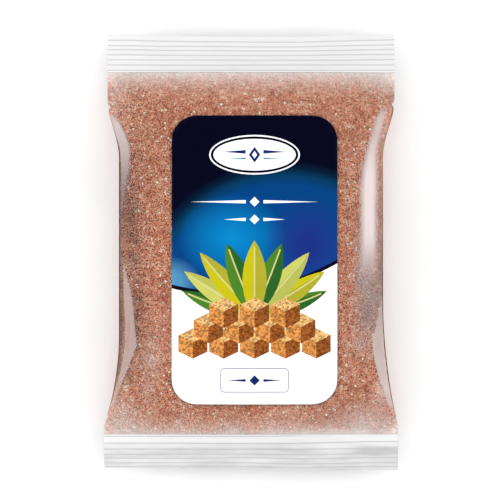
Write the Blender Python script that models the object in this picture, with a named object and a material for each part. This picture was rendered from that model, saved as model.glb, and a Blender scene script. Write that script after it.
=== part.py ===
"""Clear pillow pouch of brown cane sugar with one front label, lying on its back.

Metres, +Z up. X runs across the pouch, +Y points to its top seal, and the origin lies on
the surface that carries the pouch, under the middle of its outline.
"""
import math

import bmesh
import bpy

MM = 0.001

# Outline of the pouch, seen from above
LENGTH = 201.0 * MM
TOP_FIN_LENGTH = 16.4 * MM
BOTTOM_FIN_LENGTH = 15.4 * MM
TOP_FIN_HALF_WIDTH = 66.7 * MM
BOTTOM_FIN_HALF_WIDTH = 68.3 * MM
WAIST_HALF_WIDTH = 61.3 * MM
FIN_CORNER_RADIUS = 2.2 * MM

# The straight ears below each seal, and the flares from them down to the waist
TOP_EAR = 12.5 * MM
BOTTOM_EAR = 4.5 * MM
TOP_FLARE = 28.0 * MM
LEFT_BOTTOM_FLARE = 43.0 * MM
RIGHT_BOTTOM_FLARE = 60.0 * MM

# Heights above the surface that carries the pouch
THICKNESS = 33.0 * MM
SEAL_HEIGHT = 11.0 * MM
WIDEST_HEIGHT = 13.5 * MM
FIN_DROOP = 3.0 * MM

# Fullness of the filled body: distances over which front and back swell from a seal
TOP_SWELL = 50.0 * MM
BOTTOM_SWELL = 56.0 * MM
FRONT_POWER = 4.0
BACK_SWELL = 36.0 * MM
BACK_POWER = 3.0
SIDE_POWER = 2.5
EAR_FLATTENING = 1.4
EAR_REACH = 30.0 * MM
FLAT_BACK_SHARE = 0.6

# Crimped fins
FIN_THICKNESS = 0.9 * MM
RIDGES = 7
RIDGE_HEIGHT = 0.35 * MM

# Front label
LABEL_WIDTH = 75.2 * MM
LABEL_LENGTH = 131.5 * MM
LABEL_CORNER_RADIUS = 11.3 * MM
LABEL_THICKNESS = 0.3 * MM
LABEL_GAP = 0.3 * MM
LABEL_X = 1.6 * MM
LABEL_Y = -3.6 * MM

# Colours and roughness
SUGAR_COLOUR = (0.50, 0.22, 0.15)
SUGAR_ROUGHNESS = 0.35
LABEL_COLOUR = (0.01, 0.05, 0.16)
LABEL_ROUGHNESS = 0.3

# Mesh fineness
COLUMNS = 36
BODY_ROWS = 40
LABEL_COLUMNS = 14
LABEL_ROWS = 24
LABEL_CORNER_ROWS = 5
LABEL_CORNER_SWEEP = math.radians(84)
SMOOTH_ANGLE = math.radians(40)

TOP_SEAL_Y = LENGTH / 2 - TOP_FIN_LENGTH
BOTTOM_SEAL_Y = BOTTOM_FIN_LENGTH - LENGTH / 2


def clear_scene():
    """Empty the scene that the script runs in."""
    for item in list(bpy.data.objects):
        bpy.data.objects.remove(item, do_unlink=True)


def material(name, colour, roughness):
    """A Principled material of one colour."""
    made = bpy.data.materials.new(name)
    made.use_nodes = True
    shader = made.node_tree.nodes["Principled BSDF"]
    shader.inputs["Base Color"].default_value = (*colour, 1.0)
    shader.inputs["Roughness"].default_value = roughness
    shader.inputs["Metallic"].default_value = 0.0
    return made


def share(value, whole):
    """How far value has come along whole, held between 0 and 1."""
    return min(max(value / whole, 0.0), 1.0)


def swell(reach, power):
    """Rise from 0 where reach is 0 to 1, level, where it is 1."""
    return 1.0 - (1.0 - reach) ** power


def rounded_end(half_width, to_edge, radius):
    """Half width left at a distance from an end whose corners are rounded."""
    if to_edge >= radius:
        return half_width
    return half_width - radius + math.sqrt(max(radius**2 - (radius - to_edge) ** 2, 0.0))


def half_width(y, side):
    """Half width of the pouch at y, on the right for side 1 and on the left for side -1."""
    if y >= TOP_SEAL_Y:
        return rounded_end(TOP_FIN_HALF_WIDTH, LENGTH / 2 - y, FIN_CORNER_RADIUS)
    if y <= BOTTOM_SEAL_Y:
        return rounded_end(BOTTOM_FIN_HALF_WIDTH, LENGTH / 2 + y, FIN_CORNER_RADIUS)
    top = share(TOP_SEAL_Y - TOP_EAR - y, TOP_FLARE)
    top_extra = (TOP_FIN_HALF_WIDTH - WAIST_HALF_WIDTH) * (1 + math.cos(math.pi * top)) / 2
    flare = RIGHT_BOTTOM_FLARE if side > 0 else LEFT_BOTTOM_FLARE
    bottom = share(y - BOTTOM_SEAL_Y - BOTTOM_EAR, flare)
    bottom_extra = (BOTTOM_FIN_HALF_WIDTH - WAIST_HALF_WIDTH) * (1 - bottom) ** 2
    return WAIST_HALF_WIDTH + top_extra + bottom_extra


def across(s, y):
    """x of the point that lies at share s of the way to the edge, -1 left and 1 right."""
    right = half_width(y, 1)
    left = half_width(y, -1)
    return s * (right + left) / 2 + s * s * (right - left) / 2


def share_across(x, y):
    """The share s whose point across(s, y) is x."""
    right = half_width(y, 1)
    left = half_width(y, -1)
    mean = (right + left) / 2
    return 2 * x / (mean + math.sqrt(mean**2 + 2 * (right - left) * x))


def from_seal(y):
    """Distance from y to the nearer seal, 0 in the fins."""
    return max(min(TOP_SEAL_Y - y, y - BOTTOM_SEAL_Y), 0.0)


def front_fullness(y):
    """How full the front is at y: 0 in the seals, 1 between the two swells."""
    top = swell(share(TOP_SEAL_Y - y, TOP_SWELL), FRONT_POWER)
    bottom = swell(share(y - BOTTOM_SEAL_Y, BOTTOM_SWELL), FRONT_POWER)
    return top * bottom


def edge_height(y):
    """Height of the line along which the pouch is widest."""
    return SEAL_HEIGHT + (WIDEST_HEIGHT - SEAL_HEIGHT) * front_fullness(y)


def side_exponent(y):
    """How fast the film falls to the edge: gently in the ears, steeply further in."""
    ear = 1.0 - share(from_seal(y), EAR_REACH)
    return 1.0 / SIDE_POWER + (EAR_FLATTENING - 1.0 / SIDE_POWER) * ear**2


def front_height(s, y):
    """Height of the front film over the body."""
    edge = edge_height(y)
    full = front_fullness(y) * (1.0 - abs(s) ** SIDE_POWER) ** side_exponent(y)
    return edge + (THICKNESS - edge) * full + FIN_THICKNESS / 2 * (1 - full)


def back_height(s, y):
    """Height of the back film over the body, level where the pouch lies on its back."""
    edge = edge_height(y)
    along = swell(share(from_seal(y), BACK_SWELL), BACK_POWER)
    outside = share(abs(s) - FLAT_BACK_SHARE, 1.0 - FLAT_BACK_SHARE)
    full = along * (1.0 - outside**SIDE_POWER) ** side_exponent(y)
    return edge - edge * full - FIN_THICKNESS / 2 * (1 - full)


def fin_rows(seal_y, direction, length):
    """Rows of a crimped fin outward from its seal, each with the height of its middle."""
    half_pitch = length / (2 * RIDGES)
    rows = []
    for step in range(1, 2 * RIDGES + 1):
        out = step * half_pitch
        droop = FIN_DROOP * (out / length) ** 2
        ridge = RIDGE_HEIGHT / 2 if step % 2 else -RIDGE_HEIGHT / 2
        rows.append((seal_y + direction * out, SEAL_HEIGHT - droop + ridge))
    return rows


def body_rows():
    """Rows of the filled body, closer together towards the seals."""
    span = TOP_SEAL_Y - BOTTOM_SEAL_Y
    for step in range(BODY_ROWS + 1):
        yield BOTTOM_SEAL_Y + span * (1 - math.cos(math.pi * step / BODY_ROWS)) / 2


def pouch_rows():
    """Every row from the bottom edge to the top edge: its y, front and back heights."""
    shares = [math.sin(math.pi / 2 * (2 * step / COLUMNS - 1)) for step in range(COLUMNS + 1)]

    def fin(y, middle):
        front = [(across(s, y), y, middle + FIN_THICKNESS / 2) for s in shares]
        back = [(across(s, y), y, middle - FIN_THICKNESS / 2) for s in shares]
        return front, back

    rows = [fin(y, middle) for y, middle in fin_rows(BOTTOM_SEAL_Y, -1, BOTTOM_FIN_LENGTH)]
    rows.reverse()
    for y in body_rows():
        front = [(across(s, y), y, front_height(s, y)) for s in shares]
        back = [(across(s, y), y, back_height(s, y)) for s in shares]
        rows.append((front, back))
    rows.extend(fin(y, middle) for y, middle in fin_rows(TOP_SEAL_Y, 1, TOP_FIN_LENGTH))
    return rows


def closed_sheet(name, rows, made_of):
    """One closed body between the front and the back points of each row."""
    mesh = bmesh.new()
    front = [[mesh.verts.new(point) for point in row[0]] for row in rows]
    back = [[mesh.verts.new(point) for point in row[1]] for row in rows]
    last_row = len(rows) - 1
    last_column = len(front[0]) - 1
    for i in range(last_row):
        for j in range(last_column):
            quad = (front[i][j], front[i][j + 1], front[i + 1][j + 1], front[i + 1][j])
            under = (back[i][j], back[i + 1][j], back[i + 1][j + 1], back[i][j + 1])
            mesh.faces.new(quad)
            mesh.faces.new(under)
        mesh.faces.new((front[i][0], front[i + 1][0], back[i + 1][0], back[i][0]))
        right = last_column
        mesh.faces.new((front[i][right], back[i][right], back[i + 1][right], front[i + 1][right]))
    for j in range(last_column):
        mesh.faces.new((front[0][j], back[0][j], back[0][j + 1], front[0][j + 1]))
        end = last_row
        mesh.faces.new((front[end][j], front[end][j + 1], back[end][j + 1], back[end][j]))
    bmesh.ops.triangulate(mesh, faces=mesh.faces[:])
    bmesh.ops.recalc_face_normals(mesh, faces=mesh.faces[:])
    data = bpy.data.meshes.new(name)
    mesh.to_mesh(data)
    mesh.free()
    data.shade_smooth()
    data.set_sharp_from_angle(angle=SMOOTH_ANGLE)
    data.materials.append(made_of)
    item = bpy.data.objects.new(name, data)
    bpy.context.scene.collection.objects.link(item)
    return item


def label_half_width(along):
    """Half width of the label at a distance from its middle line."""
    return rounded_end(LABEL_WIDTH / 2, LABEL_LENGTH / 2 - abs(along), LABEL_CORNER_RADIUS)


def label_stations():
    """Distances from the label's middle, with more of them round its corners."""
    straight = LABEL_LENGTH / 2 - LABEL_CORNER_RADIUS
    corner = []
    for step in range(1, LABEL_CORNER_ROWS + 1):
        angle = LABEL_CORNER_SWEEP * step / LABEL_CORNER_ROWS
        corner.append(straight + LABEL_CORNER_RADIUS * math.sin(angle))
    middle = [straight * (2 * step / LABEL_ROWS - 1) for step in range(LABEL_ROWS + 1)]
    return [-value for value in reversed(corner)] + middle + corner


def label_rows():
    """Rows of the label, laid on the front film with a small gap under it."""
    rows = []
    for along in label_stations():
        y = LABEL_Y + along
        reach = label_half_width(along)
        under = []
        for step in range(LABEL_COLUMNS + 1):
            x = LABEL_X + reach * (2 * step / LABEL_COLUMNS - 1)
            under.append((x, y, front_height(share_across(x, y), y) + LABEL_GAP))
        over = [(x, y, z + LABEL_THICKNESS) for x, y, z in under]
        rows.append((over, under))
    return rows


def main():
    clear_scene()
    sugar_in_film = material("sugar_in_film", SUGAR_COLOUR, SUGAR_ROUGHNESS)
    printed_label = material("printed_label", LABEL_COLOUR, LABEL_ROUGHNESS)
    closed_sheet("pouch", pouch_rows(), sugar_in_film)
    closed_sheet("label", label_rows(), printed_label)


main()
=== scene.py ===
"""Looks of the clear pillow pouch of brown cane sugar: film, crimped fins, crystals and printed label."""
import math

import bpy
import numpy as np
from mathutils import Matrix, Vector
from mathutils.geometry import delaunay_2d_cdt


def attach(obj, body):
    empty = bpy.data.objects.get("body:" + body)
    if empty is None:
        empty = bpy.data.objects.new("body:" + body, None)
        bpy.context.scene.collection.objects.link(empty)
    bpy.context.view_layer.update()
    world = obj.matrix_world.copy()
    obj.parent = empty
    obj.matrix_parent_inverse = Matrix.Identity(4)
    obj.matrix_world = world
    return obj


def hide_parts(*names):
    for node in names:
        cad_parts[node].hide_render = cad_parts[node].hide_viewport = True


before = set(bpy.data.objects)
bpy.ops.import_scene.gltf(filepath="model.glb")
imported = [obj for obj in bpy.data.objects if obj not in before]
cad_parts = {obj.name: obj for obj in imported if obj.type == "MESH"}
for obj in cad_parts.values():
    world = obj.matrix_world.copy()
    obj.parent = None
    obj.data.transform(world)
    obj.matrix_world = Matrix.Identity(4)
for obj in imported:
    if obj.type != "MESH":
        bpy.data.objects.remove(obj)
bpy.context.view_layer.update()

MM = 0.001

# Outline and heights of the pouch, as in the solids
LENGTH = 201.0 * MM
TOP_FIN_LENGTH = 16.4 * MM
BOTTOM_FIN_LENGTH = 15.4 * MM
TOP_FIN_HALF_WIDTH = 66.7 * MM
BOTTOM_FIN_HALF_WIDTH = 68.3 * MM
WAIST_HALF_WIDTH = 61.3 * MM
FIN_CORNER_RADIUS = 0.7 * MM
TOP_EAR = 12.5 * MM
BOTTOM_EAR = 4.5 * MM
TOP_FLARE = 28.0 * MM
LEFT_BOTTOM_FLARE = 43.0 * MM
RIGHT_BOTTOM_FLARE = 60.0 * MM
THICKNESS = 33.0 * MM
SEAL_HEIGHT = 11.0 * MM
WIDEST_HEIGHT = 13.5 * MM
FIN_DROOP = 3.0 * MM
TOP_SWELL = 50.0 * MM
BOTTOM_SWELL = 56.0 * MM
FRONT_POWER = 4.0
BACK_SWELL = 36.0 * MM
BACK_POWER = 3.0
SIDE_POWER = 2.5
EAR_FLATTENING = 1.4
EAR_REACH = 30.0 * MM
FLAT_BACK_SHARE = 0.6
FIN_THICKNESS = 0.9 * MM
LABEL_WIDTH = 75.2 * MM
LABEL_LENGTH = 131.5 * MM
LABEL_CORNER_RADIUS = 11.3 * MM
LABEL_X = 1.6 * MM
LABEL_Y = -3.6 * MM
TOP_SEAL_Y = LENGTH / 2 - TOP_FIN_LENGTH
BOTTOM_SEAL_Y = BOTTOM_FIN_LENGTH - LENGTH / 2

# Small notches where each top ear ends: how deep, how long, and where
NOTCH_DEPTH = 1.1 * MM
NOTCH_REACH = 1.0 * MM
LEFT_NOTCH_Y = 67.3 * MM
RIGHT_NOTCH_Y = 68.6 * MM

# What every seeded drawing of unevenness starts from
SEED = 11

# Film: its grid, its height over the solid's own surface, its ripples, and its puckers at the seals
FILM_COLUMNS = 200
FILM_ROWS = 200
FILM_LIFT = 0.10 * MM
RIPPLE_HEIGHT = 0.16 * MM
RIPPLE_SIZE = 14 * MM
PUCKER_HEIGHT = 0.28 * MM
PUCKER_SIZE = 6.5 * MM
PUCKER_STRETCH = 0.12
PUCKER_REACH = 7.0 * MM
# Ripples and puckers die out over this outer share of the width, and ripples this near to the label
CALM_RIM = 0.06
CALM_LABEL = 4 * MM


def warm_grey(tone):
    """Colour of the haze: pinker where it is darker, as the sugar behind it shows."""
    return (tone, tone * (0.12 * tone + 0.83), tone * (0.17 * tone + 0.77))


# The part of the soft haze that the film carries. The sugar under it carries the rest, painted into its
# colour.
FILM_PART = 0.25
# Haze at the top and the bottom seal, partly a painted reflection where the film curves off the sugar:
# its strength there, its reach, its unevenness, and the width and the seed of its streaks
TOP_HAZE = (0.80, 6.4 * MM, 0.10, 6 * MM, SEED + 3)
BOTTOM_HAZE = (0.62, 5.8 * MM, 0.35, 13 * MM, SEED + 4)
HAZE_TINT = warm_grey(0.97)
HAZE_POWER = 1.4
HAZE_STRETCH = 0.15
# The white line where the film leaves each seal
SEAL_WHITE = 0.92
SEAL_WHITE_TINT = (0.97, 0.95, 0.945)
SEAL_WHITE_REACH = 0.50 * MM

# Taut facets along the flanks, where the film stands off the sugar. Each runs from top to bottom,
# and at the given shares of the way its inner and outer creases lie that many millimetres in from
# the outline. It slopes down outward at one angle, and is painted over in tints that run from the one at
# its top to the one at its bottom: the pale tints are partly the film's haze and partly a painted
# reflection of the lights, and the near black tint is painted shade. It has soft inner and outer
# edges, feathered over the given millimetres, and fades out over the given shares of its length at
# its top and bottom.
FACETS = (
    {"side": -1, "top": 64.6, "bottom": 14.0, "slope": 35.0, "feathers": (0.9, 0.35), "fades": (0.03, 0.06),
     "tints": ((0.76, 0.655, 0.63), (0.06, 0.0, 0.0)),
     "shares": (0.0, 0.12, 0.21, 0.345, 0.53, 0.71, 0.89, 1.0),
     "inner": (1.2, 4.4, 5.4, 6.0, 5.5, 3.8, 2.8, 1.2),
     "outer": (0.5, 0.6, 0.7, 1.2, 1.7, 1.5, 1.3, 1.2),
     "haze_and_painted_light": (0.5, 0.64, 0.64, 0.66, 0.66, 0.52, 0.28, 0.0)},
    {"side": -1, "top": -2.6, "bottom": -73.5, "slope": 34.0, "feathers": (0.3, 0.35), "fades": (0.06, 0.05),
     "tints": ((0.56, 0.415, 0.37), (0.56, 0.415, 0.37)),
     "shares": (0.0, 0.053, 0.12, 0.187, 0.321, 0.439, 0.563, 0.645, 0.754, 0.855, 0.955, 1.0),
     "inner": (2.3, 3.3, 4.7, 6.0, 7.5, 8.4, 9.2, 7.3, 4.9, 3.3, 2.3, 1.7),
     "outer": (2.2, 2.5, 2.6, 2.7, 3.1, 3.5, 3.6, 3.0, 2.1, 1.5, 0.9, 0.7),
     "haze_and_painted_light": (0.3, 0.38, 0.46, 0.50, 0.52, 0.50, 0.50, 0.50, 0.52, 0.50, 0.44, 0.25)},
    {"side": 1, "top": 68.2, "bottom": -17.5, "slope": 28.0, "feathers": (2.2, 2.2), "fades": (0.05, 0.32),
     "tints": ((0.92, 0.825, 0.81), (0.92, 0.825, 0.81)),
     "shares": (0.0, 0.043, 0.086, 0.167, 0.247, 0.355, 0.462, 0.57, 0.704, 0.812, 0.892, 1.0),
     "inner": (4.8, 6.9, 7.8, 7.6, 8.2, 10.0, 10.7, 10.7, 10.7, 11.0, 12.6, 13.7),
     "outer": (2.5, 3.9, 3.7, 3.3, 4.0, 3.9, 3.9, 4.1, 4.1, 3.9, 3.9, 4.0),
     "haze_and_painted_light": (0.22, 0.36, 0.38, 0.36, 0.49, 0.64, 0.66, 0.66, 0.64, 0.64, 0.62, 0.60)},
    {"side": 1, "top": -20.0, "bottom": -73.5, "slope": 36.0, "feathers": (0.35, 0.25), "fades": (0.05, 0.05),
     "tints": ((0.845, 0.772, 0.752), (0.845, 0.772, 0.752)),
     "shares": (0.0, 0.164, 0.287, 0.328, 0.45, 0.574, 0.697, 0.82, 0.943, 1.0),
     "inner": (1.2, 3.1, 4.9, 6.0, 6.7, 6.3, 5.3, 3.9, 2.9, 1.7),
     "outer": (0.8, 1.0, 1.0, 1.0, 1.15, 1.05, 1.15, 0.9, 0.8, 0.6),
     "haze_and_painted_light": (0.25, 0.3, 0.36, 0.38, 0.38, 0.42, 0.45, 0.48, 0.4, 0.15)},
)
# An edge is feathered over no more than this share of the facet's width and this distance together
FEATHER_SHARE = 0.35
FEATHER_LEAST = 0.1 * MM

# Sugar in shade
SHADED = (0.115, 0.036, 0.020)

# Soft patches over the sugar, in millimetres: middle, reaches, strength, tint, and the part that the
# film carries. The pale ones are haze where the film stands slightly off the sugar, partly a painted
# reflection; the grey ones are part painted shade and part painted reflection, and those in SHADED are
# painted shade.
PATCHES = (
    (51.8, -8.0, 4.6, 24.0, 0.38, (0.43, 0.41, 0.42), 0.6),
    (55.3, -24.0, 5.0, 17.0, 0.46, (0.31, 0.29, 0.30), 0.6),
    (48.5, -42.0, 4.0, 5.5, 0.22, warm_grey(0.70), FILM_PART),
    (59.8, -65.0, 3.6, 5.0, 0.30, warm_grey(0.75), FILM_PART),
    (59.0, -1.0, 2.2, 60.0, 0.10, warm_grey(0.60), FILM_PART),
    (60.3, 0.0, 3.2, 34.0, 0.40, SHADED, 0.3),
    (-60.9, -34.0, 2.0, 25.0, 0.85, SHADED, 0.4),
    (-61.2, 24.0, 1.5, 33.0, 0.85, SHADED, 0.5),
    (-56.3, 24.0, 3.5, 12.0, 0.32, SHADED, 0.1),
    (-56.5, -55.0, 3.0, 5.0, 0.50, SHADED, 0.1),
    (-62.3, 59.5, 1.6, 3.0, 0.40, warm_grey(0.90), 0.8),
    (-48.0, 40.0, 13.0, 26.0, 0.10, SHADED, 0.0),
    (50.0, 40.0, 13.0, 28.0, 0.10, SHADED, 0.0),
    (66.0, 71.0, 2.4, 6.0, 0.30, SHADED, 0.0),
    (-66.0, 71.0, 2.4, 5.0, 0.24, SHADED, 0.0),
    (38.0, -84.6, 34.0, 2.2, 0.42, warm_grey(0.95), 0.7),
    (-40.0, -84.9, 30.0, 1.1, 0.30, warm_grey(0.95), 0.7),
    (-45.5, -48.0, 4.6, 9.0, 0.26, warm_grey(0.85), FILM_PART),
    (-47.0, -64.0, 4.0, 6.0, 0.12, warm_grey(0.85), FILM_PART),
    (54.0, -77.0, 14.0, 7.0, 0.34, warm_grey(0.85), FILM_PART),
    (-61.0, -76.0, 9.0, 8.0, 0.34, warm_grey(0.85), FILM_PART),
    (-62.0, 73.0, 5.0, 8.0, 0.18, warm_grey(0.85), FILM_PART),
    (64.0, 81.0, 9.0, 7.0, 0.45, warm_grey(0.92), FILM_PART),
    (-55.4, 6.0, 5.4, 44.0, 0.54, SHADED, 0.1),
    (-52.5, -31.0, 4.6, 15.0, 0.46, SHADED, 0.1),
)
# How uneven the patches are, and how large that unevenness is
PATCH_UNEVENNESS = 0.3
PATCH_CLOUD = 9 * MM
# Shade on the flanks, on the left and on the right: how far in it reaches, where it begins as seen
# from the seals, its tint, and the part that the film carries
WALL_SHADE = (0.62, 0.40)
WALL_SHADE_REACH = 2.4 * MM
WALL_SHADE_ENDS = (18 * MM, 30 * MM)
WALL_TINT = (0.085, 0.034, 0.022)
WALL_FILM_PART = 0.15
# How far below the widest height the shade and the patches fade out
UNDER_FADE = 9.0 * MM
# The film is creased along the outline of the filled part. The crease stands out as a thin ridge:
# how far in it begins and ends, its least share of that width and where it has it as seen from the
# seals, its thickness, its cover by place, its tints, and how much of the darker tint it has at
# places along the left and the right, in millimetres
RIDGE_INSET = 0.15 * MM
RIDGE_WIDTH = 0.66 * MM
RIDGE_LEAST = 0.05
RIDGE_ENDS = (10 * MM, 18 * MM)
RIDGE_THICKNESS = 0.4 * MM
RIDGE_COVER = ((-80, -68, 64, 72), (0.0, 0.9, 0.9, 0.0))
# The darker of the ridge's tints is painted shade along the outline
RIDGE_TINTS = ((0.44, 0.205, 0.15), (0.085, 0.036, 0.028))
LEFT_RIDGE_SHADE = ((-70, -58, -45, 55, 61, 65), (0.2, 0.9, 1.0, 1.0, 0.3, 0.0))
RIGHT_RIDGE_SHADE = (
    (-70, -58, -18, 0, 24, 47, 61, 63.5, 66, 68.5), (0.2, 1.0, 1.0, 0.8, 0.53, 0.0, 0.0, 0.8, 0.8, 0.0)
)
# The label's soft shadow on the sugar beside it: on all sides, more on the right and more below, the
# most that these come to together, and its reach
LABEL_SHADE = (0.04, 0.30, 0.52)
LABEL_SHADE_MOST = 0.7
LABEL_SHADE_REACH = 0.85 * MM

# Crimped fins: the thickness of the two welded films, the length of a fin's waves, the grid, the
# grooves along the crimps with their own slight wave, the greyer colour at their bottom, and how
# much of the light the whitened films stop
FIN_SHEET = 0.26 * MM
FIN_WAVE_SIZE = 48 * MM
FIN_COLUMNS = 150
FIN_ROWS = 120
GROOVE_DEPTH = 0.07 * MM
GROOVE_HALF_WIDTH = 0.25 * MM
GROOVE_WAVE = 0.10 * MM
GROOVE_WAVE_SIZE = 70 * MM
CREASE_COLOUR = (190, 190, 192)
FIN_COVER = 0.88
# Where across a fin its crimps begin to rise, and over what distance
RISE_FROM = 10 * MM
RISE_REACH = 46 * MM
# The dimmer band: where it begins and ends as seen from the seal, and where it fades in across
DIM_BAND = (4.0 * MM, 8.6 * MM)
DIM_ACROSS = (34 * MM, 60 * MM)
# For each fin: its seal and the way it points, its length, half width and wave; its crimps and how
# far they rise to the right; how white it is at distances from its seal, from 0 to 1, and how much
# less in the dimmer band; how much longer it is than its middle at places across it; its darker and
# lighter colour, and how streaky it is. The distances in the tuples are in millimetres.
FINS = (
    {"name": "top_fin", "seal": TOP_SEAL_Y, "way": 1, "length": TOP_FIN_LENGTH, "wide": TOP_FIN_HALF_WIDTH,
     "wave": 0.2 * MM, "crimps": (0.4, 2.8, 5.1, 7.3, 9.55, 11.5, 13.75), "rise": 0.0,
     "white": ((0.0, 16.4), (0.77, 0.77)), "dimmer": 0.0,
     "longer": ((-67, -56, -42, -24, 0, 23, 41, 55, 67), (1.0, 1.0, 0.4, 0.2, 0.0, 0.0, 0.6, 1.0, 1.35)),
     "colours": ((198, 198, 199), (236, 236, 237)), "streaks": 0.9, "seed": SEED + 40},
    {"name": "bottom_fin", "seal": BOTTOM_SEAL_Y, "way": -1, "length": BOTTOM_FIN_LENGTH,
     "wide": BOTTOM_FIN_HALF_WIDTH, "wave": 0.4 * MM, "crimps": (0.4, 3.7, 6.45, 8.8, 10.7, 12.95, 14.7),
     "rise": 1.0 * MM, "dimmer": 0.42,
     "white": ((0.0, 2.8, 3.4, 5.3, 6.0, 9.0, 9.8, 11.2, 15.4),
               (0.98, 0.96, 0.76, 0.70, 0.46, 0.42, 0.44, 0.52, 0.46)),
     "longer": ((-68, 0, 10, 23, 68), (0.0, 0.0, 0.3, 1.0, 1.1)),
     "colours": ((194, 192, 194), (236, 236, 237)), "streaks": 2.2, "seed": SEED + 60},
)

# Sugar: crystals in a layer just under the film, jittered by shares of their spacing along and
# across its rows, and the spreads of their depths in millimetres, of their sizes and of their sides
CRYSTAL_SPACING = 0.92 * MM
CRYSTAL_JITTER = 0.35
ROW_JITTER = 0.45
CRYSTAL_DEPTH = 0.66 * MM
CRYSTAL_DEPTHS = (-0.06, 0.12)
CRYSTAL_SCALES = (0.78, 1.12)
CRYSTAL_STRETCHES = (0.9, 1.1)
# The layer keeps off the very ends, the thin edges and the sugar hidden under the label, and leaves
# a share of its crystals out where the pouch rests
END_GAP = 0.7 * MM
THIN_EDGE = 1.9 * MM
UNDER_LABEL = 2 * MM
RESTING_HEIGHT = 0.3 * MM
RESTING_LEFT_OUT = 0.4
# How finely the layer's rows are laid out, along the pouch and round it
FINE_ROWS = 2000
LOOP_SAMPLES = 260
LOOP_STEPS = 620
# How far the crystals stay from the film that presses on them, and from the outline
PRESSED_GAP = 0.06 * MM
EDGE_GAP = 0.12 * MM
# How alike the crystals' tones are, how many are pale and clear, and the tone that those have; these pale
# crystals also stand in as painted glints
TONE_EVENNESS = 14.0
PALE_AND_GLINT_SHARE = 0.02
PALE_AND_GLINT_TONE = 1.4
# Sizes in millimetres and strengths of the unevenness of the sugar's tone
SUGAR_CLOUDS = ((13.0, 0.5), (3.4, 0.8), (1.7, 0.7))

# The core behind the crystals: its depth under the film, the most of the pouch's thickness that this
# may be, how far in from the crease its sides lie and how much more along the middle, its grid and
# its relief
CORE_DEPTH = 1.0 * MM
CORE_DEEPEST = 0.4
CORE_INSET = 0.1 * MM
CORE_MIDDLE_INSET = 0.25 * MM
CORE_END = 0.05 * MM
CORE_COLUMNS = 130
CORE_ROWS = 150
CORE_RELIEF = 0.16 * MM

# Label: how far its face stands above the film, its own thickness, and the pitch of its mesh
LABEL_TOP = 0.34 * MM
LABEL_SHEET = 0.22 * MM
LABEL_PITCH = 3.05


def share(value, whole):
    """The value as a share of the whole, kept between 0 and 1."""
    return np.clip(value / whole, 0.0, 1.0)


def smooth(value, low, high):
    """Rises smoothly from 0 at low to 1 at high."""
    t = share(value - low, high - low)
    return t * t * (3 - 2 * t)


def from_seal(y):
    return np.maximum(np.minimum(TOP_SEAL_Y - y, y - BOTTOM_SEAL_Y), 0.0)


def columns_across(count):
    """Shares of the way to the edge for a grid's columns, closer together towards the edges."""
    return np.sin(math.pi / 2 * np.linspace(-1, 1, count))[None, :]


def swell(reach, power):
    """Rises from 0 to 1, quickly at first."""
    return 1.0 - (1.0 - reach) ** power


def rounded_end(half_width, to_edge, radius):
    """Half width left at a distance from an end whose corners are rounded."""
    inside = np.clip(radius - to_edge, 0.0, radius)
    return half_width - radius + np.sqrt(np.maximum(radius**2 - inside**2, 0.0))


def half_width(y, side):
    """Half width of the pouch at y, on the right for side 1 and on the left for side -1."""
    y = np.asarray(y, float)
    top_fin = rounded_end(TOP_FIN_HALF_WIDTH, LENGTH / 2 - y, FIN_CORNER_RADIUS)
    bottom_fin = rounded_end(BOTTOM_FIN_HALF_WIDTH, LENGTH / 2 + y, FIN_CORNER_RADIUS)
    top = share(TOP_SEAL_Y - TOP_EAR - y, TOP_FLARE)
    top_extra = (TOP_FIN_HALF_WIDTH - WAIST_HALF_WIDTH) * (1 + np.cos(math.pi * top)) / 2
    flare = RIGHT_BOTTOM_FLARE if side > 0 else LEFT_BOTTOM_FLARE
    bottom = share(y - BOTTOM_SEAL_Y - BOTTOM_EAR, flare)
    bottom_extra = (BOTTOM_FIN_HALF_WIDTH - WAIST_HALF_WIDTH) * (1 - bottom) ** 2
    notch_y = RIGHT_NOTCH_Y if side > 0 else LEFT_NOTCH_Y
    notch = NOTCH_DEPTH * np.exp(-((y - notch_y) / NOTCH_REACH) ** 2)
    body = WAIST_HALF_WIDTH + top_extra + bottom_extra - notch
    return np.where(y >= TOP_SEAL_Y, top_fin, np.where(y <= BOTTOM_SEAL_Y, bottom_fin, body))


def across(s, y):
    """x of the point that lies at share s of the way to the edge, -1 left and 1 right."""
    right, left = half_width(y, 1), half_width(y, -1)
    return s * (right + left) / 2 + s * s * (right - left) / 2


def share_across(x, y):
    """The share s whose point across(s, y) is x."""
    right, left = half_width(y, 1), half_width(y, -1)
    mean = (right + left) / 2
    return 2 * x / (mean + np.sqrt(np.maximum(mean**2 + 2 * (right - left) * x, 0.0)))


def front_fullness(y):
    top = swell(share(TOP_SEAL_Y - y, TOP_SWELL), FRONT_POWER)
    return top * swell(share(y - BOTTOM_SEAL_Y, BOTTOM_SWELL), FRONT_POWER)


def edge_height(y):
    return SEAL_HEIGHT + (WIDEST_HEIGHT - SEAL_HEIGHT) * front_fullness(y)


def side_exponent(y):
    ear = 1.0 - share(from_seal(y), EAR_REACH)
    return 1.0 / SIDE_POWER + (EAR_FLATTENING - 1.0 / SIDE_POWER) * ear**2


def inset_at(x, y):
    """How far a point lies in from the outline on its own side."""
    return np.where(x < 0, half_width(y, -1) + x, half_width(y, 1) - x)


def ridge_width(y):
    return RIDGE_WIDTH * (RIDGE_LEAST + (1 - RIDGE_LEAST) * smooth(from_seal(y), *RIDGE_ENDS))


def within_ridge(y):
    """The share s where the ridge along the outline begins."""
    return 1 - ridge_width(y) / (half_width(y, 1) + half_width(y, -1)) * 2


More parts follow.
